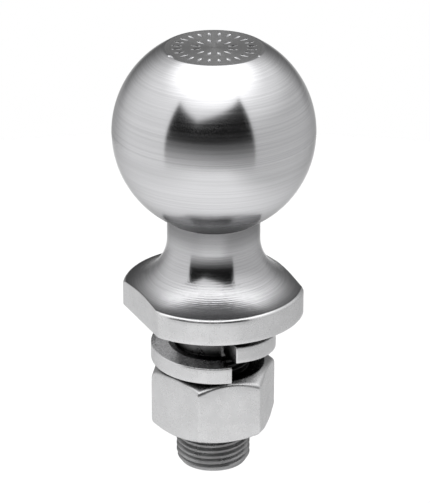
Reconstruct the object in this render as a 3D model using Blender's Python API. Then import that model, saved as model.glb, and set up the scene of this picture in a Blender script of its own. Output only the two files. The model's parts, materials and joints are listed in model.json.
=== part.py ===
"""A trailer hitch ball with a threaded shank, its split lock washer and its hex nut.

Metres, +Z up. The origin is the centre of the flange's seat, the flat underside that bears on a draw bar.
The ball is above it and the shank hangs below it. The wrench flats face -X and +X.
"""
import math

import bmesh
import bpy
from mathutils import Vector

MM = 0.001

# Ball, neck and flange
BALL_DIAMETER = 50.8 * MM
BALL_CENTRE_Z = 48.0 * MM
TOP_FLAT_RADIUS = 12.5 * MM
TOP_FLAT_EDGE = 0.4 * MM
NECK_RADIUS = 11.75 * MM
NECK_CREASE_RADIUS = 0.8 * MM
NECK_FLARE_RADIUS = 12.1 * MM
NECK_FLARE_TOP_Z = 19.6 * MM
NECK_FLARE_ANGLE = math.radians(31.4)
FLANGE_RADIUS = 23.0 * MM
FLANGE_RIM_HEIGHT = 6.0 * MM
FLANGE_TOP_BEVEL = 0.9 * MM
FLANGE_BOTTOM_BEVEL = 0.5 * MM
WRENCH_FLAT_WIDTH = 39.6 * MM
WRENCH_FLAT_OFFSET = -0.45 * MM

# Shank and its 3/4-16 UNF right-hand thread
SHANK_LENGTH = 42.5 * MM
SHANK_RADIUS = 9.46 * MM
SHANK_FILLET = 0.8 * MM
PLAIN_SHANK_LENGTH = 8.7 * MM
SHANK_END_CHAMFER = 1.0 * MM
SHANK_END_CHAMFER_LENGTH = 1.5 * MM
THREAD_PITCH = 25.4 / 16 * MM
THREAD_MAJOR_RADIUS = 9.44 * MM
THREAD_MINOR_RADIUS = 8.56 * MM
THREAD_CREST_WIDTH = 0.2 * MM
THREAD_RUN_OUT_DEPTH = 0.15 * MM
THREAD_RUN_OUT_LENGTH = 1.15 * MM
THREAD_START_ANGLE = math.radians(-114.8)
THREAD_CREST_Z = -36.4 * MM
NUT_THREAD_MAJOR_RADIUS = 9.70 * MM
NUT_THREAD_MINOR_RADIUS = 8.80 * MM
THREAD_FLANK_CLEARANCE = 0.12 * MM

# Hex nut
NUT_ACROSS_FLATS = 28.575 * MM
NUT_HEIGHT = 17.1 * MM
NUT_TOP_Z = -14.85 * MM
NUT_FACE_RADIUS = 13.2 * MM
NUT_TOP_CHAMFER_ANGLE = math.radians(32.0)
NUT_BOTTOM_CHAMFER_ANGLE = math.radians(25.0)
NUT_MOUTH_RADIUS = 10.1 * MM
NUT_MOUTH_OVERLAP = 0.4 * MM
NUT_TURN = math.radians(-7.9)

# Split lock washer, relaxed
WASHER_OUTER_RADIUS = 15.95 * MM
WASHER_INNER_RADIUS = 9.85 * MM
WASHER_OUTER_THICKNESS = 4.35 * MM
WASHER_INNER_THICKNESS = 5.0 * MM
WASHER_EDGE = 0.35 * MM
WASHER_LOW_END_Z = -12.0 * MM
WASHER_RISE = 5.4 * MM
WASHER_RISE_POWER = 1.8
WASHER_LOW_END_ANGLE = math.radians(-97.5)
WASHER_SWEEP = math.radians(356.0)
WASHER_END_SLANT = math.radians(4.0)

TURN = 2 * math.pi
ROUND_STEPS = 48
BALL_STEPS = 20
SMALL_ARC_STEPS = 3
FLARE_STEPS = 4
CONE_STEPS = 6
THREAD_STEPS = 24
WASHER_STEPS = 64
CUTTER_MARGIN = 1.0 * MM
FLAT_CUTTER_SIZE = (20 * MM, 60 * MM, 30 * MM)


def clear_scene():
    for thing in list(bpy.data.objects):
        bpy.data.objects.remove(thing, do_unlink=True)


def make_material(name, colour, roughness):
    material = bpy.data.materials.new(name)
    material.use_nodes = True
    shader = material.node_tree.nodes["Principled BSDF"]
    shader.inputs["Base Color"].default_value = (*colour, 1.0)
    shader.inputs["Metallic"].default_value = 1.0
    shader.inputs["Roughness"].default_value = roughness
    return material


def object_from_bmesh(name, bm, material=None):
    bmesh.ops.recalc_face_normals(bm, faces=bm.faces)
    mesh = bpy.data.meshes.new(name)
    bm.to_mesh(mesh)
    bm.free()
    mesh.shade_smooth()
    mesh.set_sharp_from_angle(angle=math.radians(30))
    thing = bpy.data.objects.new(name, mesh)
    bpy.context.scene.collection.objects.link(thing)
    if material is not None:
        mesh.materials.append(material)
    return thing


def hide_cutter(thing):
    thing.hide_render = True
    thing.display_type = "WIRE"


def add_boolean(target, cutter, operation):
    modifier = target.modifiers.new(operation.title() + " " + cutter.name, "BOOLEAN")
    modifier.operation = operation
    modifier.solver = "EXACT"
    modifier.object = cutter
    hide_cutter(cutter)


def arc_points(centre, radius, start, end, steps):
    """Points on an arc in the (radius, height) plane, with both ends."""
    points = []
    for step in range(steps + 1):
        angle = start + (end - start) * step / steps
        points.append((centre[0] + radius * math.cos(angle), centre[1] + radius * math.sin(angle)))
    return points


def tangent_arc(start, lean, end, steps):
    """Points after start on a concave arc that leaves start leaning out from straight down, to end."""
    across = end[0] - start[0]
    down = start[1] - end[1]
    half_turn = math.atan2(across, down) - lean
    radius = math.hypot(across, down) / (2 * math.sin(half_turn))
    centre = (start[0] + radius * math.cos(lean), start[1] + radius * math.sin(lean))
    first = math.pi + lean
    return arc_points(centre, radius, first, first + 2 * half_turn, steps)[1:]


def revolve(name, profile, material=None, steps=ROUND_STEPS):
    """A solid of revolution about Z from (radius, height) points that start and end on the axis."""
    bm = bmesh.new()
    corners = [bm.verts.new((radius, 0.0, height)) for radius, height in profile]
    edges = [bm.edges.new(pair) for pair in zip(corners, corners[1:])]
    bmesh.ops.spin(
        bm,
        geom=corners + edges,
        axis=(0.0, 0.0, 1.0),
        cent=(0.0, 0.0, 0.0),
        angle=TURN,
        steps=steps,
        use_merge=True,
    )
    bmesh.ops.remove_doubles(bm, verts=bm.verts, dist=0.0001 * MM)
    return object_from_bmesh(name, bm, material)


def ball_and_flange_profile():
    ball_radius = BALL_DIAMETER / 2
    top_angle = math.acos(TOP_FLAT_RADIUS / ball_radius)
    top_z = BALL_CENTRE_Z + ball_radius * math.sin(top_angle)
    # the crease between ball and neck is an arc that touches both
    crease_centre_r = NECK_RADIUS + NECK_CREASE_RADIUS
    reach = ball_radius + NECK_CREASE_RADIUS
    crease_angle = math.acos(crease_centre_r / reach)
    crease_centre_z = BALL_CENTRE_Z - reach * math.sin(crease_angle)
    flare_end_r = NECK_RADIUS + NECK_FLARE_RADIUS * (1 - math.cos(NECK_FLARE_ANGLE))
    flare_end_z = NECK_FLARE_TOP_Z - NECK_FLARE_RADIUS * math.sin(NECK_FLARE_ANGLE)
    rim_edge = (FLANGE_RADIUS - FLANGE_TOP_BEVEL, FLANGE_RIM_HEIGHT + FLANGE_TOP_BEVEL)

    points = [(0.0, top_z), (TOP_FLAT_RADIUS - TOP_FLAT_EDGE, top_z)]
    edge_angle = top_angle - TOP_FLAT_EDGE / ball_radius
    points += arc_points((0.0, BALL_CENTRE_Z), ball_radius, edge_angle, -crease_angle, BALL_STEPS)
    points += arc_points(
        (crease_centre_r, crease_centre_z),
        NECK_CREASE_RADIUS,
        math.pi - crease_angle,
        math.pi,
        SMALL_ARC_STEPS,
    )[1:]
    points += arc_points(
        (NECK_RADIUS + NECK_FLARE_RADIUS, NECK_FLARE_TOP_Z),
        NECK_FLARE_RADIUS,
        math.pi,
        math.pi + NECK_FLARE_ANGLE,
        FLARE_STEPS,
    )
    points += tangent_arc((flare_end_r, flare_end_z), NECK_FLARE_ANGLE, rim_edge, CONE_STEPS)
    points += [
        (FLANGE_RADIUS, FLANGE_RIM_HEIGHT),
        (FLANGE_RADIUS, FLANGE_BOTTOM_BEVEL),
        (FLANGE_RADIUS - FLANGE_BOTTOM_BEVEL, 0.0),
    ]
    fillet_centre = (SHANK_RADIUS + SHANK_FILLET, -SHANK_FILLET)
    points += arc_points(fillet_centre, SHANK_FILLET, math.pi / 2, math.pi, SMALL_ARC_STEPS)
    points += [(SHANK_RADIUS, -PLAIN_SHANK_LENGTH), (0.0, -PLAIN_SHANK_LENGTH)]
    return points


def thread_profile(major, minor, crest_width):
    """One pitch of a 60 degree thread as (height, radius), with the crest in the middle."""
    flank = (major - minor) * math.tan(math.radians(30))
    half_crest = crest_width / 2
    half_pitch = THREAD_PITCH / 2
    return [
        (-half_pitch, minor),
        (-half_crest - flank, minor),
        (-half_crest, major),
        (half_crest, major),
        (half_crest + flank, minor),
        (half_pitch, minor),
    ]


def threaded_rod(name, major, minor, crest_width, low_z, high_z):
    """A solid right-hand threaded rod whose crest passes the thread's start angle at its crest height."""
    profile = thread_profile(major, minor, crest_width)
    first_turn = math.floor((low_z - THREAD_CREST_Z) / THREAD_PITCH)
    turns = math.ceil((high_z - THREAD_CREST_Z) / THREAD_PITCH) - first_turn
    steps = turns * THREAD_STEPS
    bm = bmesh.new()
    rings = []
    for step in range(steps + 1):
        around = TURN * step / THREAD_STEPS
        angle = THREAD_START_ANGLE + around
        base_z = THREAD_CREST_Z + THREAD_PITCH * (first_turn + step / THREAD_STEPS)
        rings.append([
            bm.verts.new((radius * math.cos(angle), radius * math.sin(angle), base_z + height))
            for height, radius in profile
        ])
    for here, there in zip(rings, rings[1:]):
        for low in range(len(profile) - 1):
            bm.faces.new((here[low], there[low], there[low + 1], here[low + 1]))
    cap_ends(bm, rings)
    bmesh.ops.remove_doubles(bm, verts=bm.verts, dist=0.0001 * MM)
    return object_from_bmesh(name, bm)


def cap_ends(bm, rings):
    """Close both ends of a threaded wall with a fan to a point on the axis."""
    low_loop = [ring[0] for ring in rings[: THREAD_STEPS + 1]] + rings[0][-2::-1]
    high_loop = [ring[-1] for ring in rings[-THREAD_STEPS - 1:]] + rings[-1][:-1][::-1]
    for loop in (low_loop, high_loop):
        middle_z = sum(vert.co.z for vert in loop) / len(loop)
        centre = bm.verts.new((0.0, 0.0, middle_z))
        for here, there in zip(loop, loop[1:]):
            bm.faces.new((here, there, centre))


def thread_envelope():
    """What the threaded rod is cut back to: it thins out into the plain shank and has a chamfered end."""
    end_z = -SHANK_LENGTH
    buried_radius = SHANK_RADIUS - THREAD_RUN_OUT_DEPTH
    clear_radius = SHANK_RADIUS + CUTTER_MARGIN
    taper = SHANK_END_CHAMFER_LENGTH / SHANK_END_CHAMFER
    run_out_z = -PLAIN_SHANK_LENGTH + THREAD_RUN_OUT_LENGTH / 2
    return revolve("thread_envelope", [
        (0.0, -PLAIN_SHANK_LENGTH + CUTTER_MARGIN),
        (buried_radius, -PLAIN_SHANK_LENGTH + CUTTER_MARGIN),
        (buried_radius, run_out_z),
        (clear_radius, run_out_z - THREAD_RUN_OUT_LENGTH),
        (clear_radius, end_z + SHANK_END_CHAMFER_LENGTH + CUTTER_MARGIN * taper),
        (SHANK_RADIUS - SHANK_END_CHAMFER, end_z),
        (0.0, end_z),
    ])


def make_ball_stud(material):
    stud = revolve("ball_stud", ball_and_flange_profile(), material)
    for side in (-1, 1):
        add_boolean(stud, wrench_flat_cutter(side), "DIFFERENCE")
    thread = threaded_rod(
        "shank_thread", THREAD_MAJOR_RADIUS, THREAD_MINOR_RADIUS, THREAD_CREST_WIDTH,
        -SHANK_LENGTH - THREAD_PITCH, -PLAIN_SHANK_LENGTH + THREAD_PITCH,
    )
    add_boolean(thread, thread_envelope(), "INTERSECT")
    add_boolean(stud, thread, "UNION")
    return stud


def wrench_flat_cutter(side):
    size = Vector(FLAT_CUTTER_SIZE)
    bm = bmesh.new()
    bmesh.ops.create_cube(bm, size=1.0)
    bmesh.ops.scale(bm, vec=size, verts=bm.verts)
    middle_x = WRENCH_FLAT_OFFSET + side * (WRENCH_FLAT_WIDTH + size.x) / 2
    bmesh.ops.translate(bm, vec=(middle_x, 0.0, FLANGE_RIM_HEIGHT), verts=bm.verts)
    name = "wrench_flat_cutter_left" if side < 0 else "wrench_flat_cutter_right"
    return object_from_bmesh(name, bm)


def make_hex_nut(material):
    corner_radius = NUT_ACROSS_FLATS / 2 / math.cos(math.pi / 6)
    bm = bmesh.new()
    outline = []
    for corner in range(6):
        angle = NUT_TURN + corner * TURN / 6
        place = (corner_radius * math.cos(angle), corner_radius * math.sin(angle), NUT_TOP_Z)
        outline.append(bm.verts.new(place))
    face = bm.faces.new(outline)
    grown = bmesh.ops.extrude_face_region(bm, geom=[face])["geom"]
    moved = [item for item in grown if isinstance(item, bmesh.types.BMVert)]
    bmesh.ops.translate(bm, vec=(0.0, 0.0, -NUT_HEIGHT), verts=moved)
    nut = object_from_bmesh("hex_nut", bm, material)

    low_z = NUT_TOP_Z - NUT_HEIGHT
    reach = corner_radius + CUTTER_MARGIN
    top_drop = (reach - NUT_FACE_RADIUS) * math.tan(NUT_TOP_CHAMFER_ANGLE)
    bottom_rise = (reach - NUT_FACE_RADIUS) * math.tan(NUT_BOTTOM_CHAMFER_ANGLE)
    envelope = revolve("nut_chamfers", [
        (0.0, NUT_TOP_Z),
        (NUT_FACE_RADIUS, NUT_TOP_Z),
        (reach, NUT_TOP_Z - top_drop),
        (reach, low_z + bottom_rise),
        (NUT_FACE_RADIUS, low_z),
        (0.0, low_z),
    ])
    add_boolean(nut, envelope, "INTERSECT")

    # the nut's thread is the shank's, grown by the clearance on each flank
    deeper = NUT_THREAD_MAJOR_RADIUS - THREAD_MAJOR_RADIUS
    crest_width = THREAD_CREST_WIDTH + 2 * THREAD_FLANK_CLEARANCE - 2 * deeper * math.tan(math.radians(30))
    core = threaded_rod(
        "nut_thread_cutter", NUT_THREAD_MAJOR_RADIUS, NUT_THREAD_MINOR_RADIUS, crest_width,
        low_z - THREAD_PITCH, NUT_TOP_Z + THREAD_PITCH,
    )
    add_boolean(nut, core, "DIFFERENCE")
    add_boolean(nut, nut_mouth_cutter("nut_top_mouth", NUT_TOP_Z, 1), "DIFFERENCE")
    add_boolean(nut, nut_mouth_cutter("nut_bottom_mouth", low_z, -1), "DIFFERENCE")
    return nut


def nut_mouth_cutter(name, face_z, outward):
    """A countersink that stands proud of the nut's face and runs in past the thread's minor radius."""
    proud = CUTTER_MARGIN
    inner = NUT_THREAD_MINOR_RADIUS - NUT_MOUTH_OVERLAP
    depth = NUT_MOUTH_RADIUS - inner
    profile = [
        (0.0, face_z + outward * proud),
        (NUT_MOUTH_RADIUS + proud, face_z + outward * proud),
        (inner, face_z - outward * depth),
        (0.0, face_z - outward * depth),
    ]
    return revolve(name, profile)


def washer_section():
    """The washer's section as (radius, height from its middle), with its corners cut."""
    outer_half = WASHER_OUTER_THICKNESS / 2
    inner_half = WASHER_INNER_THICKNESS / 2
    edge = WASHER_EDGE
    return [
        (WASHER_INNER_RADIUS, -inner_half + edge),
        (WASHER_INNER_RADIUS + edge, -inner_half),
        (WASHER_OUTER_RADIUS - edge, -outer_half),
        (WASHER_OUTER_RADIUS, -outer_half + edge),
        (WASHER_OUTER_RADIUS, outer_half - edge),
        (WASHER_OUTER_RADIUS - edge, outer_half),
        (WASHER_INNER_RADIUS + edge, inner_half),
        (WASHER_INNER_RADIUS, inner_half - edge),
    ]


def make_lock_washer(material):
    """A left-hand coil of just under one turn, so that a right-hand nut bites when it backs off."""
    section = washer_section()
    width = WASHER_OUTER_RADIUS - WASHER_INNER_RADIUS
    bm = bmesh.new()
    rings = []
    for step in range(WASHER_STEPS + 1):
        share = step / WASHER_STEPS
        middle_z = WASHER_LOW_END_Z + WASHER_RISE * share ** WASHER_RISE_POWER
        ring = []
        for radius, height in section:
            slant = WASHER_END_SLANT * (WASHER_OUTER_RADIUS - radius) / width
            angle = WASHER_LOW_END_ANGLE - WASHER_SWEEP * share - slant
            place = (radius * math.cos(angle), radius * math.sin(angle), middle_z + height)
            ring.append(bm.verts.new(place))
        rings.append(ring)
    for here, there in zip(rings, rings[1:]):
        for first in range(len(section)):
            second = (first + 1) % len(section)
            bm.faces.new((here[first], here[second], there[second], there[first]))
    bm.faces.new(rings[0])
    bm.faces.new(rings[-1])
    return object_from_bmesh("lock_washer", bm, material)


def main():
    clear_scene()
    turned_steel = make_material("turned_steel", (0.60, 0.60, 0.60), 0.28)
    spring_steel = make_material("spring_steel", (0.56, 0.56, 0.56), 0.32)
    plated_nut = make_material("plated_nut", (0.66, 0.66, 0.66), 0.36)
    make_ball_stud(turned_steel)
    make_lock_washer(spring_steel)
    make_hex_nut(plated_nut)


main()
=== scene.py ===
"""The looks of a trailer hitch ball: turned and plated steel on a pale floor in a white studio.

Metres, +Z up. The origin is the centre of the flange's seat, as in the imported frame.
"""
import json
import math

import bmesh
import bpy
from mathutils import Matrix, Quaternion, Vector


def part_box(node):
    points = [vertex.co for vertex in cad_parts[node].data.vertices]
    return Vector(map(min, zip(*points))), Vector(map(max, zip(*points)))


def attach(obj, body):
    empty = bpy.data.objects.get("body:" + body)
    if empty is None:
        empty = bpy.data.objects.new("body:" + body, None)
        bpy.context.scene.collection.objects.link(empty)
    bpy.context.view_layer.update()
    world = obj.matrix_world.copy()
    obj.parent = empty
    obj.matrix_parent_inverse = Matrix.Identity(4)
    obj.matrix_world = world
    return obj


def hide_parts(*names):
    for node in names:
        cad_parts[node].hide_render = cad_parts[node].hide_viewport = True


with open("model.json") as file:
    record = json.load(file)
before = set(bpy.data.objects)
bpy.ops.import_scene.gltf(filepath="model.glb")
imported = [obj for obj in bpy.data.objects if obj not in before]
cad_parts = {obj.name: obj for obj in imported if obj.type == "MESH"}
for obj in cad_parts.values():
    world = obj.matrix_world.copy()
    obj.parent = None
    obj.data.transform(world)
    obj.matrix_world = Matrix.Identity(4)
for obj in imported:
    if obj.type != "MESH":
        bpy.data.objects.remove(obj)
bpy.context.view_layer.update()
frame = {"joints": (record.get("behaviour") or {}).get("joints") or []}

MM = 0.001
TURN = 2 * math.pi

STUD_LOW, STUD_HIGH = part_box("ball_stud")
NUT_LOW, NUT_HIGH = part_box("hex_nut")
WASHER_LOW, WASHER_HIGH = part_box("lock_washer")
JOINTS = {joint["name"]: joint for joint in frame["joints"]}

# Ball, neck and flange
BALL_RADIUS = 25.4 * MM
BALL_CENTRE_Z = 48.0 * MM
TOP_FLAT_RADIUS = 12.5 * MM
TOP_EDGE_RADIUS = 0.35 * MM
NECK_RADIUS = 11.75 * MM
CREASE_RADIUS = 0.8 * MM
FLARE_RADIUS = 12.1 * MM
FLARE_TOP_Z = 19.6 * MM
FLARE_ANGLE = math.radians(31.4)
FLANGE_RADIUS = 23.0 * MM
RIM_HEIGHT = 6.0 * MM
RIM_TOP_BEVEL = 0.9 * MM
RIM_BOTTOM_BEVEL = 0.25 * MM
FLAT_TOP_BEVEL = 0.22 * MM
LEFT_FLAT = 20.25 * MM
RIGHT_FLAT = 19.35 * MM
FLAT_CORNER_BLEND = 0.25 * MM
RIM_BEVEL_FADE = (FLANGE_RADIUS - 0.6 * MM, 0.5 * MM)
TOP_EDGE_LIFT = 0.06 * MM

# Rows of faces down the stud
TOP_ROWS = 24
BALL_ROWS = 76
CREASE_ROWS = 8
FLARE_ROWS = 12
CONE_ROWS = 24
RIM_TOP_ROWS = 6
RIM_ROWS = 6
RIM_BOTTOM_ROWS = 4
SEAT_ROWS = 4
FILLET_ROWS = 6
PLAIN_ROWS = 6
SHANK_ROWS = FILLET_ROWS + PLAIN_ROWS
END_ROWS = 8

# Shank and thread
SHANK_RADIUS = 9.46 * MM
SHANK_FILLET = 0.8 * MM
PLAIN_END_Z = -8.7 * MM
SHANK_END_CHAMFER = 1.0 * MM
SHANK_END_CHAMFER_LENGTH = 1.5 * MM
PITCH = 25.4 / 16 * MM
THREAD_MAJOR = 9.44 * MM
THREAD_MINOR = 8.56 * MM
THREAD_CREST_WIDTH = 0.2 * MM
THREAD_FLANK_ANGLE = math.radians(30)
THREAD_EASE = 0.03 * MM
THREAD_CREST_FLAT_SHARE = 0.4
THREAD_START_ANGLE = math.radians(-114.8)
THREAD_CREST_Z = -36.4 * MM
RUN_OUT = 1.2 * PITCH
NUT_MAJOR = 9.70 * MM
NUT_MINOR = 8.80 * MM
NUT_CREST_WIDTH = 0.14 * MM

# Nut
NUT_FLAT_RADIUS = 28.575 / 2 * MM
NUT_FACE_RADIUS = 13.2 * MM
NUT_TOP_CHAMFER = math.tan(math.radians(32))
NUT_BOTTOM_CHAMFER = math.tan(math.radians(22.5))
NUT_MOUTH_RADIUS = 10.1 * MM
NUT_TURN = math.radians(-7.9)
NUT_EDGE = 0.46 * MM
NUT_TOP_CORNER_EDGE = 0.95 * MM
NUT_BOTTOM_CORNER_EDGE = 1.5 * MM
NUT_CORNER_FADE = 2 * MM
NUT_FACE_INSET = 0.15 * MM
NUT_CORNER_BLEND = 0.35 * MM
NUT_FACE_ROWS = 5
NUT_CHAMFER_ROWS = 5
NUT_EDGE_ROWS = 5
NUT_SIDE_ROWS = 6

# Washer
WASHER_OUTER = 15.95 * MM
WASHER_INNER = 9.85 * MM
WASHER_OUTER_THICKNESS = 4.35 * MM
WASHER_INNER_THICKNESS = 5.0 * MM
WASHER_RISE_POWER = 1.8
WASHER_LOW_END_ANGLE = math.radians(-97.5)
WASHER_SWEEP = math.radians(356.0)
WASHER_END_SLANT = math.radians(4.0)
WASHER_END_BEVEL = 0.12 * MM
WASHER_END_SWELL = 0.05
WASHER_END_SWELL_REACH = 1.2 * MM
WASHER_ROUND_OUTER = 0.35 * MM
WASHER_ROUND_INNER = 0.3 * MM
WASHER_STEPS = 200
WASHER_END_STEPS = (0.0012, 0.004, 0.008)
WASHER_CORNER_ROWS = 4
WASHER_SIDE_ROWS = 4

# Camera
CAMERA_AZIMUTH = math.radians(-24.8)
CAMERA_ELEVATION = math.radians(21.876)
CAMERA_DISTANCE = 800 * MM
CAMERA_AIM = Vector((0.35 * MM, 0.0, 15.4 * MM))
CAMERA_ROLL = math.radians(0.166)
CAMERA_LENS = 231.0
CAMERA_SENSOR = 36.0

# Meshes: columns round the axis, with extra ones at each corner
COLUMNS = 168
CORNER_SHARES = (-1.0, -0.7, -0.45, -0.25, -0.1, 0.0, 0.1, 0.25, 0.45, 0.7, 1.0)
CORNER_CLEARANCE = 1.15
STUD_CORNER_SPREAD = math.radians(2.2)
NUT_CORNER_SPREAD = math.radians(3.0)
WELD_DISTANCE = 0.0002 * MM
SHARP_DEGREES = 40
WASHER_SHARP_DEGREES = 50

# Turned finish: chatter marks on the cone, and the heights and radii between which the finish and the
# painted shade change
CHATTER_COUNT = 124.0
CHATTER_PITCH = 0.95 * MM
CHATTER_ZONE = (11.5 * MM, 13.5 * MM)
RING_SLOPE = 0.83
NECK_ZONE = (24 * MM, 26 * MM)
UPPER_BALL_ZONE = (45 * MM, 55 * MM)
ABOVE_CREASE_ZONE = (25 * MM, 37 * MM)
BELOW_CREASE_ZONE = (18.5 * MM, 25 * MM)
CONE_RADIUS_ZONE = (17 * MM, 23 * MM)
CONE_TOP_ZONE = (15 * MM, 19 * MM)
NECK_SHADE_ZONE = (21 * MM, 26 * MM)
CREASE_PAINTED_SHADE = 0.42
CONE_PAINTED_SHADE = 0.48
NECK_PAINTED_SHADE = 0.84
BALL_STREAKS = (0.4, 0.14)
NECK_STREAKS = 1.7
CONE_ROUGHER = 0.05
CREASE_ROUGHER = 0.18

# How noise and open shares are stretched to 0..1
NOISE_SPAN = (0.3, 0.7)
CHATTER_SPAN = (0.3, 0.6)
OPEN_SPAN = (0.3, 0.9)
RECESS_REACH = 8 * MM
RECESS_SAMPLES = 12

# Floor
FLOOR_RADIUS = 0.35
FLOOR_SEGMENTS = 96
FLOOR_GREY = 0.97
FLOOR_RIGHT_SHADE = 0.62
FLOOR_RIGHT_ZONE = (0.05, 0.2)
FLOOR_LEFT_SHADE = 0.80
FLOOR_LEFT_ZONE = (-0.06, -0.24)
FLOOR_CLEARANCE = 22 * MM

# Studio light. Zones are in degrees, round from the camera's side (+ is its right) or up from level,
# except WALL_ACROSS and BOX_LEAN, which are parts of a direction of length 1. The rest are brightnesses.
WALL_ACROSS = (-0.6, 0.8)
WALL_LEFT_TO_RIGHT = (0.92, 0.66)
WALL_RISE = (10, 42)
WALL_HIGH = 1.07
BACK_SIDE = (126, 166)
BACK_TOP = (45, 68)
BACK_FOOT = (-14, -2)
BACK_SHARE = 0.34
FAR_LEFT_SIDE = (-145, -102)
FAR_LEFT_SHARE = 0.76
BOX_RISE = (38, 68)
BOX_LEAN = (-0.62, -0.32)
BOX_LIGHT = 1.05
OPENING_MIDDLE = -4.75
OPENING_SIDE = (49, 52.5)
OPENING_CORNER = -22.0
OPENING_TOP = 29.5
OPENING_TOP_SLOPES = (-0.375, 0.3)
OPENING_TOP_SOFT = 4
OPENING_FOOT = (-28, 9.5)
OPENING_DARK = 0.996

# Top flat: full rings of equal ticks (radius, count), and nicks on its edge (degrees, half length, depth)
CAMERA_SIDE = CAMERA_AZIMUTH - math.pi / 2
TICK_RINGS = ((9.3 * MM, 24), (4.7 * MM, 12))
TICK_HALF_LENGTH = 1.3 * MM
TICK_HALF_WIDTH = 0.4 * MM
TICK_DEPTH = 0.45 * MM
TICK_LIFT = 0.03 * MM
NICK_HALF_WIDTH = 0.45 * MM
NICK_INSET = 0.1 * MM
NICK_SINK = 0.05 * MM
PUNCH_SEGMENTS = 16
PUNCH_RINGS = 10
EDGE_NICKS = ((-58, 1.5 * MM, 0.4 * MM), (62, 0.4 * MM, 0.25 * MM))


# ---------------------------------------------------------------- curves and meshes

def arc(centre, radius, start, end, steps):
    """Points on an arc in the (radius, height) plane, with both ends."""
    angles = [start + (end - start) * step / steps for step in range(steps + 1)]
    return [(centre[0] + radius * math.cos(a), centre[1] + radius * math.sin(a)) for a in angles]


def between(start, end, steps):
    """Evenly spaced points from start to end, without start."""
    shares = [step / steps for step in range(1, steps + 1)]
    return [(start[0] + (end[0] - start[0]) * s, start[1] + (end[1] - start[1]) * s) for s in shares]


def smooth_step(value):
    """0 below 0, 1 above 1, and a smooth rise between."""
    value = min(1.0, max(0.0, value))
    return value * value * (3 - 2 * value)


def soft_min(first, second, blend):
    """The smaller of two lengths, with the corner between them rounded over blend."""
    share = min(1.0, max(0.0, 0.5 + 0.5 * (second - first) / blend))
    return second + (first - second) * share - blend * share * (1 - share)


def column_angles(corners, spread):
    """Angles round the axis: even steps, with extra ones close to each corner."""
    angles = {round(TURN * step / COLUMNS, 6) for step in range(COLUMNS)}
    for corner in corners:
        near = corner % TURN
        clear = spread * CORNER_CLEARANCE
        angles = {a for a in angles if abs((a - near + math.pi) % TURN - math.pi) > clear}
        for share in CORNER_SHARES:
            angles.add(round((near + spread * share) % TURN, 6))
    return sorted(angles)


class Skin:
    """Vertices, faces and a material index for each face, gathered before they are welded into one mesh."""

    def __init__(self):
        self.points = []
        self.faces = []
        self.finishes = []

    def add_grid(self, columns, finish_of_row, closed=True):
        """Quads between neighbouring columns of points; every column has the same number of points."""
        base = len(self.points)
        rows = len(columns[0])
        for column in columns:
            self.points.extend(column)
        count = len(columns)
        for index in range(count if closed else count - 1):
            here = base + index * rows
            there = base + (index + 1) % count * rows
            for row in range(rows - 1):
                self.faces.append((here + row, here + row + 1, there + row + 1, there + row))
                self.finishes.append(finish_of_row(row))

    def make(self, name, materials, sharp_degrees=SHARP_DEGREES):
        """One welded object, smooth but for its sharp edges."""
        mesh = bpy.data.meshes.new(name)
        mesh.from_pydata(self.points, [], self.faces)
        mesh.polygons.foreach_set("material_index", self.finishes)
        bm = bmesh.new()
        bm.from_mesh(mesh)
        bmesh.ops.remove_doubles(bm, verts=bm.verts, dist=WELD_DISTANCE)
        bmesh.ops.dissolve_degenerate(bm, edges=bm.edges, dist=WELD_DISTANCE)
        bmesh.ops.recalc_face_normals(bm, faces=bm.faces)
        bm.to_mesh(mesh)
        bm.free()
        for material in materials:
            mesh.materials.append(material)
        mesh.shade_smooth()
        mesh.set_sharp_from_angle(angle=math.radians(sharp_degrees))
        thing = bpy.data.objects.new(name, mesh)
        bpy.context.scene.collection.objects.link(thing)
        return thing


def turned(angle, profile):
    """A profile of (radius, height) points set round the axis at an angle."""
    return [(radius * math.cos(angle), radius * math.sin(angle), height) for radius, height in profile]


def thread_wave(major, minor, crest_width):
    """One pitch of a 60 degree thread as (height, radius), with softened crest and root."""
    flank = (major - minor) * math.tan(THREAD_FLANK_ANGLE)
    crest = crest_width / 2
    half = [
        (crest * THREAD_CREST_FLAT_SHARE, major),
        (crest + THREAD_EASE / 2, major - THREAD_EASE),
        (crest + flank / 2, (major + minor) / 2),
        (crest + flank - THREAD_EASE / 2, minor + THREAD_EASE),
    ]
    return [(-h, r) for h, r in reversed(half)] + half + [(PITCH / 2, minor)]


def add_thread(skin, angles, wave, low_z, high_z, radius_at, finish_at):
    """A helical wall between two heights; radius_at trims it so that its ends close on plain rings."""
    turns_down = math.floor((low_z - THREAD_CREST_Z) / PITCH) - 1
    turns_up = math.ceil((high_z - THREAD_CREST_Z) / PITCH) + 1
    columns = []
    ordered = sorted(angles, key=lambda a: (a - THREAD_START_ANGLE) % TURN)
    shares = [((a - THREAD_START_ANGLE) % TURN) / TURN for a in ordered]
    shares.append(shares[0] + 1.0)
    for angle, share in zip(ordered + ordered[:1], shares):
        column = []
        for turn in range(turns_down, turns_up):
            for height, radius in wave:
                z = THREAD_CREST_Z + PITCH * (turn + share) + height
                z = min(high_z, max(low_z, z))
                reach = radius_at(radius, z)
                column.append((reach * math.cos(angle), reach * math.sin(angle), z))
        columns.append(column)

    def finish_of_row(row):
        return finish_at(THREAD_CREST_Z + PITCH * (turns_down + row // len(wave)))

    skin.add_grid(columns, finish_of_row, closed=False)


# ---------------------------------------------------------------- materials

def socket_of(tree, value, target):
    """Link a socket, or set a plain value, on a node's input."""
    if isinstance(value, bpy.types.NodeSocket):
        tree.links.new(value, target)
    else:
        target.default_value = value


def maths(tree, operation, *values):
    """The result of one sum on sockets or plain values."""
    node = tree.nodes.new("ShaderNodeMath")
    node.operation = operation
    for value, target in zip(values, node.inputs):
        socket_of(tree, value, target)
    return node.outputs[0]


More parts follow.
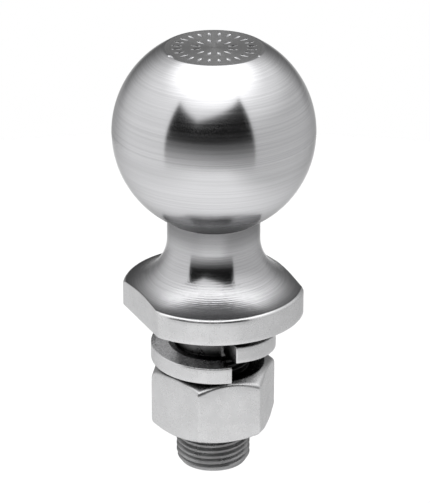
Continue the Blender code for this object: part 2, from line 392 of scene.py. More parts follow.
def ramp(tree, value, low, high, to_low=0.0, to_high=1.0, smooth=True):
    """A value moved from one range to another and held at its ends."""
    node = tree.nodes.new("ShaderNodeMapRange")
    node.interpolation_type = "SMOOTHSTEP" if smooth else "LINEAR"
    for name, item in (("Value", value), ("From Min", low), ("From Max", high),
                       ("To Min", to_low), ("To Max", to_high)):
        socket_of(tree, item, node.inputs[name])
    return node.outputs["Result"]


def noise(tree, vector, scale, detail=2.0, roughness=0.5):
    """Noise from 0 to 1 at a place, finer as the scale rises."""
    node = tree.nodes.new("ShaderNodeTexNoise")
    tree.links.new(vector, node.inputs["Vector"])
    node.inputs["Scale"].default_value = scale
    node.inputs["Detail"].default_value = detail
    node.inputs["Roughness"].default_value = roughness
    return node.outputs["Fac"]


def vector_of(tree, x, y, z):
    node = tree.nodes.new("ShaderNodeCombineXYZ")
    for value, target in zip((x, y, z), node.inputs):
        socket_of(tree, value, target)
    return node.outputs[0]


def grey_between(tree, share, dark, light):
    """From the dark colour where the share is 0 to the light one where it is 1."""
    node = tree.nodes.new("ShaderNodeMix")
    node.data_type = "RGBA"
    socket_of(tree, share, node.inputs["Factor"])
    node.inputs["A"].default_value = (*dark, 1.0)
    node.inputs["B"].default_value = (*light, 1.0)
    return node.outputs["Result"]


class Metal:
    """A metallic Principled material with object coordinates split into radius round the axis and height."""

    def __init__(self, name):
        self.material = bpy.data.materials.new(name)
        self.material.use_nodes = True
        self.tree = self.material.node_tree
        self.shader = self.tree.nodes["Principled BSDF"]
        self.shader.inputs["Metallic"].default_value = 1.0
        self.shader.inputs["Specular Tint"].default_value = (0.6, 0.6, 0.6, 1.0)
        place = self.tree.nodes.new("ShaderNodeTexCoord")
        self.place = place.outputs["Object"]
        split = self.tree.nodes.new("ShaderNodeSeparateXYZ")
        self.tree.links.new(self.place, split.inputs[0])
        self.x, self.y, self.z = split.outputs
        squares = maths(self.tree, "ADD", maths(self.tree, "MULTIPLY", self.x, self.x),
                        maths(self.tree, "MULTIPLY", self.y, self.y))
        self.radius = maths(self.tree, "SQRT", squares)

    def rings(self, fine, slow, detail=2.0, radius_share=RING_SLOPE):
        """Noise that runs round the axis: fine across the marks and slow along them."""
        tree = self.tree
        along_x = maths(tree, "MULTIPLY", self.x, slow)
        along_y = maths(tree, "MULTIPLY", self.y, slow)
        across = maths(tree, "ADD", self.z, maths(tree, "MULTIPLY", self.radius, radius_share))
        across = maths(tree, "MULTIPLY", across, fine)
        return noise(tree, vector_of(tree, along_x, along_y, across), 1.0, detail)

    def brush_round(self, amount):
        """Marks run round the axis, so reflections spread across them."""
        tangent = self.tree.nodes.new("ShaderNodeTangent")
        tangent.direction_type = "RADIAL"
        tangent.axis = "Z"
        self.tree.links.new(tangent.outputs[0], self.shader.inputs["Tangent"])
        self.shader.inputs["Anisotropic"].default_value = amount
        self.shader.inputs["Anisotropic Rotation"].default_value = 0.25

    def bump(self, height, distance, below=None):
        """The normal of a relief of the given depth, laid over the one below it."""
        node = self.tree.nodes.new("ShaderNodeBump")
        node.inputs["Strength"].default_value = 1.0
        node.inputs["Distance"].default_value = distance
        self.tree.links.new(height, node.inputs["Height"])
        if below is not None:
            self.tree.links.new(below, node.inputs["Normal"])
        return node.outputs["Normal"]

    def with_painted_shade(self, colour, share, darkest):
        """Painted shade: the colour, scaled down to darkest where the share is 0 and unchanged where it is
        1.
        """
        scale = self.tree.nodes.new("ShaderNodeMix")
        scale.data_type = "RGBA"
        scale.blend_type = "MULTIPLY"
        scale.inputs["Factor"].default_value = 1.0
        self.tree.links.new(colour, scale.inputs["A"])
        self.tree.links.new(grey_between(self.tree, share, grey(darkest), grey(1.0)), scale.inputs["B"])
        return scale.outputs["Result"]

    def painted_recess_shade(self, colour, reach, darkest):
        """Painted shade: the colour, scaled down to darkest where walls within reach close off the surface.
        """
        open_share = self.tree.nodes.new("ShaderNodeAmbientOcclusion")
        open_share.inputs["Distance"].default_value = reach
        open_share.samples = RECESS_SAMPLES
        return self.with_painted_shade(colour, ramp(self.tree, open_share.outputs["AO"], *OPEN_SPAN), darkest)

    def finish(self, colour, roughness, normal):
        """The material, with its colour, roughness and relief set on the shader."""
        socket_of(self.tree, colour, self.shader.inputs["Base Color"])
        socket_of(self.tree, roughness, self.shader.inputs["Roughness"])
        self.tree.links.new(normal, self.shader.inputs["Normal"])
        return self.material


def grey(value):
    """A faintly cool grey."""
    return (value, value, value * 1.005)


def turned_steel():
    """The ball, neck and cone: fine turning rings, with a crossed chatter pattern low on the cone, and
    painted shade in the crease, towards the rim and low down.
    """
    metal = Metal("turned_steel")
    tree = metal.tree
    slope = ramp(tree, metal.z, *NECK_ZONE, -RING_SLOPE, 0.0)
    fine = metal.rings(3600, 22, 3.0, slope)
    broad = metal.rings(1900, 26, 2.0, slope)
    cloud = noise(tree, metal.place, 60, 3.0)
    marks = maths(tree, "ADD", maths(tree, "MULTIPLY", fine, 0.8), maths(tree, "MULTIPLY", broad, 0.2))

    around = maths(tree, "MULTIPLY", maths(tree, "ARCTAN2", metal.y, metal.x), CHATTER_COUNT)
    along = maths(tree, "MULTIPLY", metal.radius, TURN / CHATTER_PITCH)
    one_way = maths(tree, "SINE", maths(tree, "ADD", around, along))
    other_way = maths(tree, "SINE", maths(tree, "SUBTRACT", around, along))
    on_cone = ramp(tree, metal.z, *CHATTER_ZONE, 1.0, 0.0)
    chatter = maths(tree, "MULTIPLY", maths(tree, "MULTIPLY", one_way, other_way), on_cone)
    chatter = maths(tree, "MULTIPLY", chatter, ramp(tree, noise(tree, metal.place, 900, 2.0), *CHATTER_SPAN))

    below_ball = ramp(tree, metal.z, *NECK_ZONE, 1.0, 0.0)
    on_ball = ramp(tree, metal.z, *UPPER_BALL_ZONE, *BALL_STREAKS)
    depth = maths(tree, "ADD", maths(tree, "MULTIPLY", below_ball, NECK_STREAKS), on_ball)
    cut = maths(tree, "MULTIPLY", marks, depth)

    colour = grey_between(tree, ramp(tree, marks, *NOISE_SPAN), grey(0.58), grey(0.67))
    above_crease = ramp(tree, metal.z, *ABOVE_CREASE_ZONE)
    below_crease = ramp(tree, metal.z, *BELOW_CREASE_ZONE, 1.0, 0.0)
    # painted shade: a dark band in the crease between the ball and the neck, darkest at 25 mm up
    colour = metal.with_painted_shade(colour, maths(tree, "MAXIMUM", above_crease, below_crease), CREASE_PAINTED_SHADE)
    # painted shade: the outer cone is darkened towards the rim, below 15 mm up and beyond 17 mm from the
    # axis
    inside_cone = ramp(tree, metal.radius, *CONE_RADIUS_ZONE, 1.0, 0.0)
    off_cone = maths(tree, "MAXIMUM", inside_cone, ramp(tree, metal.z, *CONE_TOP_ZONE))
    colour = metal.with_painted_shade(colour, off_cone, CONE_PAINTED_SHADE)
    # painted shade: the neck and the cone below it, under 21 to 26 mm up, are darkened a little
    colour = metal.with_painted_shade(colour, ramp(tree, metal.z, *NECK_SHADE_ZONE), NECK_PAINTED_SHADE)

    roughness = ramp(tree, marks, *NOISE_SPAN, 0.14, 0.175)
    roughness = maths(tree, "ADD", roughness, ramp(tree, cloud, *NOISE_SPAN, -0.008, 0.008))
    roughness = maths(tree, "ADD", roughness, maths(tree, "MULTIPLY", on_cone, CONE_ROUGHER))
    roughness = maths(tree, "ADD", roughness, ramp(tree, above_crease, 0.0, 0.8, CREASE_ROUGHER, 0.0))
    roughness = maths(tree, "SUBTRACT", roughness, maths(tree, "MULTIPLY", below_ball, CREASE_ROUGHER))

    metal.brush_round(0.72)
    normal = metal.bump(chatter, 0.014 * MM, metal.bump(cut, 0.006 * MM))
    return metal.finish(colour, roughness, normal)


def top_face_steel():
    """The top flat: faced on a lathe, duller than the ball."""
    metal = Metal("top_face_steel")
    tree = metal.tree
    fine = metal.rings(5200, 12, 3.0)
    broad = metal.rings(1300, 18, 2.0)
    marks = maths(tree, "ADD", maths(tree, "MULTIPLY", fine, 0.5), maths(tree, "MULTIPLY", broad, 0.5))
    grain = noise(tree, metal.place, 2600, 2.0)
    colour = grey_between(tree, ramp(tree, marks, *NOISE_SPAN), grey(0.52), grey(0.62))
    roughness = ramp(tree, grain, *NOISE_SPAN, 0.28, 0.36)
    metal.brush_round(0.5)
    normal = metal.bump(marks, 0.005 * MM, metal.bump(grain, 0.003 * MM))
    return metal.finish(colour, roughness, normal)


def satin_steel(name, greys, roughnesses, ring_share=0.0, recess_shade_darkest=0.1):
    """Plated satin steel: fine grain, soft clouds, painted shade in recesses and, with a ring share, turning
    rings.
    """
    metal = Metal(name)
    tree = metal.tree
    dark, light = greys
    grain = noise(tree, metal.place, 3800, 2.0)
    cloud = noise(tree, metal.place, 160, 4.0, 0.6)
    patch = noise(tree, metal.place, 420, 3.0, 0.6)
    colour = grey_between(tree, ramp(tree, cloud, *NOISE_SPAN), grey(dark), grey(light))
    # painted shade: darker where nearby walls close the surface in, read from an ambient occlusion node
    colour = metal.painted_recess_shade(colour, RECESS_REACH, recess_shade_darkest)
    roughness = ramp(tree, patch, *NOISE_SPAN, *roughnesses)
    roughness = maths(tree, "ADD", roughness, ramp(tree, grain, *NOISE_SPAN, -0.02, 0.02))
    normal = metal.bump(grain, 0.0015 * MM, metal.bump(patch, 0.003 * MM))
    if ring_share:
        rings = metal.rings(3600, 16, 2.0)
        metal.brush_round(ring_share)
        normal = metal.bump(rings, 0.006 * MM, normal)
    return metal.finish(colour, roughness, normal)


# ---------------------------------------------------------------- ball stud

TURNED, TOP_FACE, RIM, THREAD, SHANK = range(5)


def arc_height(radius, centre, size):
    """Height of the concave second flare at a radius."""
    return centre[1] - math.sqrt(max(0.0, size * size - (centre[0] - radius) ** 2))


def second_flare():
    """Centre, radius and start of the arc that leaves the first flare and ends at the rim's bevel."""
    start_radius = NECK_RADIUS + FLARE_RADIUS * (1 - math.cos(FLARE_ANGLE))
    start = (start_radius, FLARE_TOP_Z - FLARE_RADIUS * math.sin(FLARE_ANGLE))
    end = (FLANGE_RADIUS - RIM_TOP_BEVEL, RIM_HEIGHT + RIM_TOP_BEVEL)
    half_turn = math.atan2(end[0] - start[0], start[1] - end[1]) - FLARE_ANGLE
    size = math.hypot(end[0] - start[0], start[1] - end[1]) / (2 * math.sin(half_turn))
    centre = (start[0] + size * math.cos(FLARE_ANGLE), start[1] + size * math.sin(FLARE_ANGLE))
    return centre, size, start


def flange_reach(angle):
    """How far the flange's outline is from the axis: a round rim with two flats, their corners softened."""
    half_width = RIGHT_FLAT if math.cos(angle) > 0 else LEFT_FLAT
    flat = half_width / max(1e-6, abs(math.cos(angle)))
    return soft_min(FLANGE_RADIUS, flat, FLAT_CORNER_BLEND)


def rim_bevel(reach):
    """The rim's top edge is turned to a wide bevel, and the flats' edges are nearly sharp."""
    fade_start, fade_length = RIM_BEVEL_FADE
    on_rim = smooth_step((reach - fade_start) / fade_length)
    return FLAT_TOP_BEVEL + (RIM_TOP_BEVEL - FLAT_TOP_BEVEL) * on_rim


def upper_profile():
    """From the middle of the top flat down the ball to the end of the first flare."""
    top_angle = math.acos(TOP_FLAT_RADIUS / BALL_RADIUS)
    top_z = STUD_HIGH.z
    crease_centre_r = NECK_RADIUS + CREASE_RADIUS
    reach = BALL_RADIUS + CREASE_RADIUS
    crease_angle = math.acos(crease_centre_r / reach)
    crease_z = BALL_CENTRE_Z - reach * math.sin(crease_angle)
    edge = (TOP_FLAT_RADIUS - TOP_EDGE_RADIUS, top_z)
    points = [(0.0, top_z)]
    points += between(points[0], edge, TOP_ROWS)
    top_rows = len(points)
    first = top_angle - TOP_EDGE_RADIUS / BALL_RADIUS
    ball = arc((0.0, BALL_CENTRE_Z), BALL_RADIUS, first, -crease_angle, BALL_ROWS)
    halfway = ((edge[0] + ball[0][0]) / 2, (edge[1] + ball[0][1]) / 2)
    points.append((halfway[0] + TOP_EDGE_LIFT, halfway[1] + TOP_EDGE_LIFT))
    points += ball
    crease = arc((crease_centre_r, crease_z), CREASE_RADIUS, math.pi - crease_angle, math.pi, CREASE_ROWS)
    points += crease[1:]
    points.append((NECK_RADIUS, (crease_z + FLARE_TOP_Z) / 2))
    flare_centre = (NECK_RADIUS + FLARE_RADIUS, FLARE_TOP_Z)
    points += arc(flare_centre, FLARE_RADIUS, math.pi, math.pi + FLARE_ANGLE, FLARE_ROWS)
    return points, top_rows


def lower_profile(angle):
    """From the second flare over the rim and across the seat to the plain shank, at one angle."""
    centre, size, start = second_flare()
    reach = flange_reach(angle)
    bevel = rim_bevel(reach)
    inner = reach - bevel
    points = []
    for step in range(1, CONE_ROWS + 1):
        radius = start[0] + (inner - start[0]) * step / CONE_ROWS
        points.append((radius, arc_height(radius, centre, size)))
    edge_z = points[-1][1]
    for step in range(1, RIM_TOP_ROWS + 1):
        turn = math.pi / 2 * step / RIM_TOP_ROWS
        points.append((inner + bevel * math.sin(turn), edge_z - bevel * (1 - math.cos(turn))))
    points += between(points[-1], (reach, RIM_BOTTOM_BEVEL), RIM_ROWS)
    for step in range(1, RIM_BOTTOM_ROWS + 1):
        turn = math.pi / 2 * step / RIM_BOTTOM_ROWS
        radius = reach - RIM_BOTTOM_BEVEL * (1 - math.cos(turn))
        points.append((radius, RIM_BOTTOM_BEVEL * (1 - math.sin(turn))))
    fillet_centre = (SHANK_RADIUS + SHANK_FILLET, -SHANK_FILLET)
    fillet = arc(fillet_centre, SHANK_FILLET, math.pi / 2, math.pi, FILLET_ROWS)
    points += between(points[-1], fillet[0], SEAT_ROWS) + fillet[1:]
    points += between(points[-1], (SHANK_RADIUS, PLAIN_END_Z), PLAIN_ROWS)
    return points


def shank_radius_at(radius, z):
    """The thread fades into the plain shank at the top and into the chamfer at the end."""
    fade = smooth_step((PLAIN_END_Z - z) / RUN_OUT)
    threaded = SHANK_RADIUS + (radius - SHANK_RADIUS) * fade
    slope = SHANK_END_CHAMFER / SHANK_END_CHAMFER_LENGTH
    return min(threaded, THREAD_MAJOR - SHANK_END_CHAMFER + (z - STUD_LOW.z) * slope)


def make_stud():
    """The turned body down to the plain shank, the threaded wall below it and the end face."""
    right = math.acos(RIGHT_FLAT / FLANGE_RADIUS)
    left = math.acos(LEFT_FLAT / FLANGE_RADIUS)
    corners = [right, -right, math.pi - left, math.pi + left]
    angles = column_angles(corners, STUD_CORNER_SPREAD)
    upper, top_rows = upper_profile()
    skin = Skin()
    columns = [turned(angle, upper + lower_profile(angle)) for angle in angles]
    rim_from = len(upper) + CONE_ROWS
    shank_from = len(columns[0]) - SHANK_ROWS - 1

    def finish_of_row(row):
        if row < top_rows - 1:
            return TOP_FACE
        if row < rim_from:
            return TURNED
        return RIM if row < shank_from else SHANK

    skin.add_grid(columns, finish_of_row)
    wave = thread_wave(THREAD_MAJOR, THREAD_MINOR, THREAD_CREST_WIDTH)

    def thread_finish_at(z):
        return THREAD if z < NUT_LOW.z + PITCH else SHANK

    add_thread(skin, angles, wave, STUD_LOW.z, PLAIN_END_Z, shank_radius_at, thread_finish_at)
    end_edge = (THREAD_MAJOR - SHANK_END_CHAMFER, STUD_LOW.z)
    end = [end_edge] + between(end_edge, (0.0, STUD_LOW.z), END_ROWS)
    skin.add_grid([turned(angle, end) for angle in angles], lambda row: RIM)
    stud = skin.make("hitch_ball_stud", [
        turned_steel(),
        top_face_steel(),
        satin_steel("rim_steel", (0.64, 0.69), (0.24, 0.28), ring_share=0.6, recess_shade_darkest=0.2),
        # partly the shank's own darker steel and partly painted shade: the thread and the plain shank are
        # coloured dark for the shade low down and in the gap under the flange
        satin_steel("thread_steel", (0.28, 0.37), (0.26, 0.36), ring_share=0.6, recess_shade_darkest=0.8),
        satin_steel("shank_steel_and_painted_shade", (0.26, 0.36), (0.26, 0.36), ring_share=0.6, recess_shade_darkest=0.05),
    ])
    cut_top_marks(stud)
    return stud


# ---------------------------------------------------------------- ticks on the top flat

def add_punch(bm, place, half_length, half_width, depth, angle):
    """A long rounded punch, centred on the surface that it is driven into."""
    sphere = bmesh.ops.create_uvsphere(bm, u_segments=PUNCH_SEGMENTS, v_segments=PUNCH_RINGS, radius=1.0)
    made = sphere["verts"]
    bmesh.ops.scale(bm, vec=(half_length, half_width, depth), verts=made)
    turn = Quaternion((0.0, 0.0, 1.0), angle).to_matrix()
    bmesh.ops.rotate(bm, cent=(0.0, 0.0, 0.0), matrix=turn, verts=made)
    bmesh.ops.translate(bm, vec=place, verts=made)


def cut_top_marks(stud):
    """Two full rings of equal radial ticks, and two small nicks on the flat's edge."""
    bm = bmesh.new()
    top_z = STUD_HIGH.z
    for radius, count in TICK_RINGS:
        for index in range(count):
            angle = CAMERA_SIDE + TURN * (index + 0.5) / count
            place = (radius * math.cos(angle), radius * math.sin(angle), top_z + TICK_LIFT)
            add_punch(bm, place, TICK_HALF_LENGTH, TICK_HALF_WIDTH, TICK_DEPTH, angle)
    for degrees, length, depth in EDGE_NICKS:
        angle = CAMERA_SIDE + math.radians(degrees)
        reach = TOP_FLAT_RADIUS - NICK_INSET
        place = (reach * math.cos(angle), reach * math.sin(angle), top_z - NICK_SINK)
        add_punch(bm, place, NICK_HALF_WIDTH, length, depth, angle)
    mesh = bpy.data.meshes.new("top_punches")
    bm.to_mesh(mesh)
    bm.free()
    mesh.shade_smooth()
    cutter = bpy.data.objects.new("top_punches", mesh)
    bpy.context.scene.collection.objects.link(cutter)
    modifier = stud.modifiers.new("punches", "BOOLEAN")
    modifier.operation = "DIFFERENCE"
    modifier.solver = "EXACT"
    modifier.object = cutter
    graph = bpy.context.evaluated_depsgraph_get()
    punched = bpy.data.meshes.new_from_object(stud.evaluated_get(graph))
    stud.modifiers.clear()
    stud.data = punched
    punched.set_sharp_from_angle(angle=math.radians(SHARP_DEGREES))
    bpy.data.objects.remove(cutter, do_unlink=True)


# ---------------------------------------------------------------- nut

NUT_SIDE, NUT_FACE = range(2)


def nut_reach(angle):
    """Distance from the axis to the hexagon at an angle, with softened corners."""
    local = (angle - NUT_TURN) % (TURN / 6)
    this_side = NUT_FLAT_RADIUS / math.cos(local - math.pi / 6)
    next_side = NUT_FLAT_RADIUS / math.cos(min(local, TURN / 6 - local) + math.pi / 6)
    return soft_min(this_side, next_side, NUT_CORNER_BLEND)


def nut_profile(angle):
    """From the top mouth over the chamfer, down a side and in to the bottom mouth."""
    reach = nut_reach(angle)
    top = nut_shoulder(reach, NUT_TOP_CHAMFER, NUT_TOP_CORNER_EDGE)
    top = [(r, NUT_HIGH.z - depth) for r, depth in top]
    bottom = nut_shoulder(reach, NUT_BOTTOM_CHAMFER, NUT_BOTTOM_CORNER_EDGE)
    bottom = [(r, NUT_LOW.z + depth) for r, depth in reversed(bottom)]
    return top + between(top[-1], bottom[0], NUT_SIDE_ROWS)[:-1] + bottom


def nut_shoulder(reach, slope, corner_edge):
    """From the mouth across the face and down the chamfer to a side, as (radius, depth below the face)."""
    points = [(NUT_MOUTH_RADIUS, 0.0)]
    points += between(points[0], (NUT_FACE_RADIUS - NUT_FACE_INSET, 0.0), NUT_FACE_ROWS)
    near_corner = smooth_step((reach - NUT_FLAT_RADIUS) / NUT_CORNER_FADE)
    edge = NUT_EDGE + (corner_edge - NUT_EDGE) * near_corner
    inner = reach - edge
    points += between(points[-1], (inner, (inner - NUT_FACE_RADIUS) * slope), NUT_CHAMFER_ROWS)
    start = points[-1]
    corner_depth = (reach - NUT_FACE_RADIUS) * slope
    for step in range(1, NUT_EDGE_ROWS + 1):
        share = step / NUT_EDGE_ROWS
        rest = 1 - share
        radius = start[0] * rest ** 2 + reach * (1 - rest ** 2)
        depth = start[1] * rest ** 2 + 2 * corner_depth * share * rest + (corner_depth + edge) * share ** 2
        points.append((radius, depth))
    return points


def nut_bore_at(radius, z):
    """The thread's radius, opened out to a 45 degree countersink at each mouth."""
    mouth = NUT_MOUTH_RADIUS - min(NUT_HIGH.z - z, z - NUT_LOW.z)
    return max(radius, mouth)


def make_nut():
    """The chamfered hexagon and its threaded bore; the faces round the bore and the bore are darker, as
    painted shade.
    """
    corners = [NUT_TURN + TURN * corner / 6 for corner in range(6)]
    angles = column_angles(corners, NUT_CORNER_SPREAD)
    skin = Skin()
    columns = [turned(angle, nut_profile(angle)) for angle in angles]
    last_row = len(columns[0]) - 2

    def finish_of_row(row):
        return NUT_FACE if min(row, last_row - row) < NUT_FACE_ROWS else NUT_SIDE

    skin.add_grid(columns, finish_of_row)
    wave = thread_wave(NUT_MAJOR, NUT_MINOR, NUT_CREST_WIDTH)
    add_thread(skin, angles, wave, NUT_LOW.z, NUT_HIGH.z, nut_bore_at, lambda z: NUT_FACE)
    return skin.make("plated_hex_nut", [
        satin_steel("nut_steel", (0.59, 0.64), (0.26, 0.31), recess_shade_darkest=0.3),
        # painted shade: the faces round the bore and the bore are coloured near black
        satin_steel("nut_face_painted_shade", (0.12, 0.22), (0.24, 0.34), ring_share=0.5, recess_shade_darkest=0.05),
    ])


# ---------------------------------------------------------------- washer

OUTSIDE, FLANK, BORE, SHEARED = range(4)
FIRST_TOP_ROW = 11
FIRST_BORE_ROW = 15
FIRST_BOTTOM_ROW = 29


def washer_finish(row):
    """Rows run up the outside, across the top, down the bore and back across the bottom."""
    if row < FIRST_TOP_ROW:
        return OUTSIDE
    return BORE if FIRST_BORE_ROW <= row < FIRST_BOTTOM_ROW else FLANK


def washer_section(swell, inset):
    """The coil's section as (radius, height): thicker inside than outside, corners rounded."""
    inner_half = WASHER_INNER_THICKNESS / 2 * swell - inset
    outer_half = WASHER_OUTER_THICKNESS / 2 * swell - inset
    inner_r, outer_r = WASHER_INNER + inset, WASHER_OUTER - inset
    round_outer = WASHER_ROUND_OUTER
    round_inner = WASHER_ROUND_INNER
    points = []
    spots = (
        (outer_r - round_outer, -outer_half + round_outer, round_outer, -math.pi / 2),
        (outer_r - round_outer, outer_half - round_outer, round_outer, 0.0),
        (inner_r + round_inner, inner_half - round_inner, round_inner, math.pi / 2),
        (inner_r + round_inner, -inner_half + round_inner, round_inner, math.pi),
    )
    for r, z, size, start in spots:
        corner = arc((r, z), size, start, start + math.pi / 2, WASHER_CORNER_ROWS)
        if points:
            points += between(points[-1], corner[0], WASHER_SIDE_ROWS)[:-1]
        points += corner
    points += between(points[-1], points[0], WASHER_SIDE_ROWS)[:-1]
    return points


def make_washer():
    """A left-hand coil of just under one turn with sheared ends."""
    low_z = WASHER_LOW.z + WASHER_INNER_THICKNESS / 2
    rise = WASHER_HIGH.z - WASHER_INNER_THICKNESS / 2 - low_z
    stations = [(0.0, WASHER_END_BEVEL)] + [(share, 0.0) for share in WASHER_END_STEPS]
    stations += [(step / WASHER_STEPS, 0.0) for step in range(3, WASHER_STEPS - 2)]
    stations += [(1 - share, 0.0) for share in reversed(WASHER_END_STEPS)] + [(1.0, WASHER_END_BEVEL)]
    columns = []
    for share, inset in stations:
        near_end = min(share, 1 - share) * WASHER_SWEEP * WASHER_OUTER
        swell = 1.0 + WASHER_END_SWELL * math.exp(-near_end / WASHER_END_SWELL_REACH)
        middle_z = low_z + rise * share ** WASHER_RISE_POWER
        column = []
        for radius, height in washer_section(swell, inset):
            slant = WASHER_END_SLANT * (WASHER_OUTER - radius) / (WASHER_OUTER - WASHER_INNER)
            angle = WASHER_LOW_END_ANGLE - WASHER_SWEEP * share - slant
            column.append((radius * math.cos(angle), radius * math.sin(angle), middle_z + height))
        columns.append(column + column[:1])
    skin = Skin()
    skin.add_grid(columns, washer_finish, closed=False)
    for column in (columns[0], columns[-1]):
        skin.points.extend(column[:-1])
        last = len(skin.points)
        skin.faces.append(tuple(range(last - len(column) + 1, last)))
        skin.finishes.append(SHEARED)
    return skin.make("split_lock_washer", [
        satin_steel("washer_steel", (0.60, 0.66), (0.22, 0.28), ring_share=0.4),
        # painted shade: the flat faces, the bore and the sheared ends are darker copies of the washer's
        # steel, darkest in the bore
        satin_steel("washer_flank_painted_shade", (0.40, 0.50), (0.22, 0.30), ring_share=0.6),
        satin_steel("washer_bore_painted_shade", (0.04, 0.09), (0.24, 0.34), ring_share=0.6, recess_shade_darkest=0.3),
        satin_steel("washer_end_painted_shade", (0.06, 0.22), (0.26, 0.40)),
    ], WASHER_SHARP_DEGREES)


# ---------------------------------------------------------------- studio

def make_floor():
    """A pale floor, below the nut's lowest reach off the shank, with painted shade that makes it greyer far
    out to its sides.
    """
    travel = JOINTS["nut_travel"]["range_m"][1]
    floor_z = NUT_LOW.z - travel - FLOOR_CLEARANCE
    mesh = bpy.data.meshes.new("studio_floor")
    bm = bmesh.new()
    bmesh.ops.create_circle(bm, cap_ends=True, radius=FLOOR_RADIUS, segments=FLOOR_SEGMENTS)
    bmesh.ops.translate(bm, vec=(0.0, 0.0, floor_z), verts=bm.verts)
    bm.to_mesh(mesh)
    bm.free()
    floor = bpy.data.objects.new("studio_floor", mesh)
    bpy.context.scene.collection.objects.link(floor)
    material = bpy.data.materials.new("pale_floor")
    material.use_nodes = True
    tree = material.node_tree
    shader = tree.nodes["Principled BSDF"]
    place = tree.nodes.new("ShaderNodeTexCoord")
    split = tree.nodes.new("ShaderNodeSeparateXYZ")
    tree.links.new(place.outputs["Object"], split.inputs[0])
    x, y, _ = split.outputs
    to_right = maths(tree, "ADD", maths(tree, "MULTIPLY", x, math.cos(CAMERA_AZIMUTH)),
                     maths(tree, "MULTIPLY", y, math.sin(CAMERA_AZIMUTH)))
    # painted shade: the floor's base colour drops towards its far right and far left
    right_painted_shade = ramp(tree, to_right, *FLOOR_RIGHT_ZONE, 0.0, FLOOR_GREY - FLOOR_RIGHT_SHADE)
    left_painted_shade = ramp(tree, to_right, *FLOOR_LEFT_ZONE, 0.0, FLOOR_GREY - FLOOR_LEFT_SHADE)
    level = maths(tree, "SUBTRACT", FLOOR_GREY, right_painted_shade)
    level = maths(tree, "SUBTRACT", level, left_painted_shade)
    tree.links.new(level, shader.inputs["Base Color"])
    shader.inputs["Roughness"].default_value = 0.9
    shader.inputs["Specular IOR Level"].default_value = 0.1
    mesh.materials.append(material)


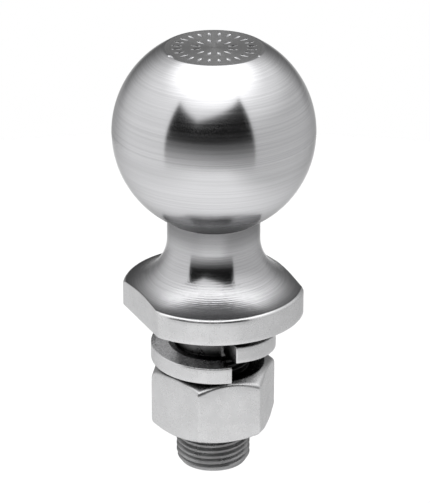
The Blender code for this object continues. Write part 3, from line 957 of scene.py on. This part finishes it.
def make_studio_light():
    """A white tent with a soft box overhead, a dim back and a dark opening on the camera's side."""
    world = bpy.data.worlds.new("studio")
    bpy.context.scene.world = world
    world.use_nodes = True
    tree = world.node_tree
    background = tree.nodes["Background"]
    place = tree.nodes.new("ShaderNodeTexCoord")
    turn = tree.nodes.new("ShaderNodeVectorRotate")
    turn.rotation_type = "Z_AXIS"
    turn.inputs["Angle"].default_value = -CAMERA_AZIMUTH
    tree.links.new(place.outputs["Generated"], turn.inputs["Vector"])
    split = tree.nodes.new("ShaderNodeSeparateXYZ")
    tree.links.new(turn.outputs[0], split.inputs[0])
    x, y, z = split.outputs
    to_camera = maths(tree, "MULTIPLY", y, -1.0)
    side = maths(tree, "DEGREES", maths(tree, "ARCTAN2", x, to_camera))
    height = maths(tree, "DEGREES", maths(tree, "ARCSINE", z))

    # the left wall is brighter than the right one, and both are brighter higher up
    wall = ramp(tree, x, *WALL_ACROSS, *WALL_LEFT_TO_RIGHT)
    high = ramp(tree, height, *WALL_RISE)
    gain = maths(tree, "MULTIPLY", high, maths(tree, "SUBTRACT", WALL_HIGH, wall))
    walls = maths(tree, "ADD", wall, gain)

    # the wall behind the object is grey, and so is the far end of the left wall
    behind = ramp(tree, maths(tree, "ABSOLUTE", side), *BACK_SIDE)
    behind = maths(tree, "MULTIPLY", behind, ramp(tree, height, *BACK_TOP, 1.0, 0.0))
    behind = maths(tree, "MULTIPLY", behind, ramp(tree, height, *BACK_FOOT))
    walls = maths(tree, "MULTIPLY", walls, ramp(tree, behind, 0.0, 1.0, 1.0, BACK_SHARE, smooth=False))
    walls = maths(tree, "MULTIPLY", walls, ramp(tree, side, *FAR_LEFT_SIDE, FAR_LEFT_SHARE, 1.0))

    # the soft box overhead leans towards the camera's side
    box = maths(tree, "MULTIPLY", ramp(tree, height, *BOX_RISE), ramp(tree, to_camera, *BOX_LEAN))
    lit = maths(tree, "ADD", walls, maths(tree, "MULTIPLY", box, BOX_LIGHT))

    # the dark opening: its top is a shallow V, and its foot fades into the light from below
    across = maths(tree, "ABSOLUTE", maths(tree, "SUBTRACT", side, OPENING_MIDDLE))
    from_corner = maths(tree, "SUBTRACT", side, OPENING_CORNER)
    arms = [maths(tree, "MULTIPLY", from_corner, slope) for slope in OPENING_TOP_SLOPES]
    top = maths(tree, "ADD", maths(tree, "MAXIMUM", *arms), OPENING_TOP)
    above_top = maths(tree, "SUBTRACT", height, top)
    within_sides = ramp(tree, across, *OPENING_SIDE, 1.0, 0.0)
    opening = maths(tree, "MULTIPLY", within_sides, ramp(tree, above_top, 0, OPENING_TOP_SOFT, 1.0, 0.0))
    opening = maths(tree, "MULTIPLY", opening, ramp(tree, height, *OPENING_FOOT, smooth=False))
    left_over = maths(tree, "SUBTRACT", 1.0, maths(tree, "MULTIPLY", opening, OPENING_DARK))
    dimmed = maths(tree, "MULTIPLY", lit, left_over)

    # the camera itself sees plain white
    rays = tree.nodes.new("ShaderNodeLightPath")
    strength = tree.nodes.new("ShaderNodeMix")
    strength.data_type = "FLOAT"
    tree.links.new(rays.outputs["Is Camera Ray"], strength.inputs["Factor"])
    tree.links.new(dimmed, strength.inputs["A"])
    strength.inputs["B"].default_value = 1.0
    background.inputs["Color"].default_value = (1.0, 1.0, 1.0, 1.0)
    tree.links.new(strength.outputs["Result"], background.inputs["Strength"])


def make_camera():
    """A long lens at the photograph's viewing angle."""
    data = bpy.data.cameras.new("photo_camera")
    data.lens = CAMERA_LENS
    data.sensor_width = CAMERA_SENSOR
    data.clip_start = 0.01
    data.clip_end = 50.0
    camera = bpy.data.objects.new("photo_camera", data)
    bpy.context.scene.collection.objects.link(camera)
    flat = CAMERA_DISTANCE * math.cos(CAMERA_ELEVATION)
    right = Vector((math.cos(CAMERA_AZIMUTH), math.sin(CAMERA_AZIMUTH), 0.0))
    out = Vector((math.sin(CAMERA_AZIMUTH), -math.cos(CAMERA_AZIMUTH), 0.0))
    rise = BALL_CENTRE_Z + CAMERA_DISTANCE * math.sin(CAMERA_ELEVATION)
    camera.location = out * flat + Vector((0.0, 0.0, rise))
    aim = right * CAMERA_AIM.x + Vector((0.0, 0.0, CAMERA_AIM.z))
    camera.rotation_mode = "QUATERNION"
    looking = (aim - camera.location).to_track_quat("-Z", "Y")
    camera.rotation_quaternion = looking @ Quaternion((0.0, 0.0, 1.0), CAMERA_ROLL)
    bpy.context.scene.camera = camera


make_camera()
make_studio_light()
make_floor()
bpy.context.scene.view_settings.view_transform = "Standard"

for piece, body, node_name, slot in (
    (make_stud(), "stud", "ball_stud", "turned_steel"),
    (make_washer(), "washer", "lock_washer", "spring_steel"),
    (make_nut(), "nut", "hex_nut", "plated_nut"),
):
    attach(piece, body)
    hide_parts(node_name)
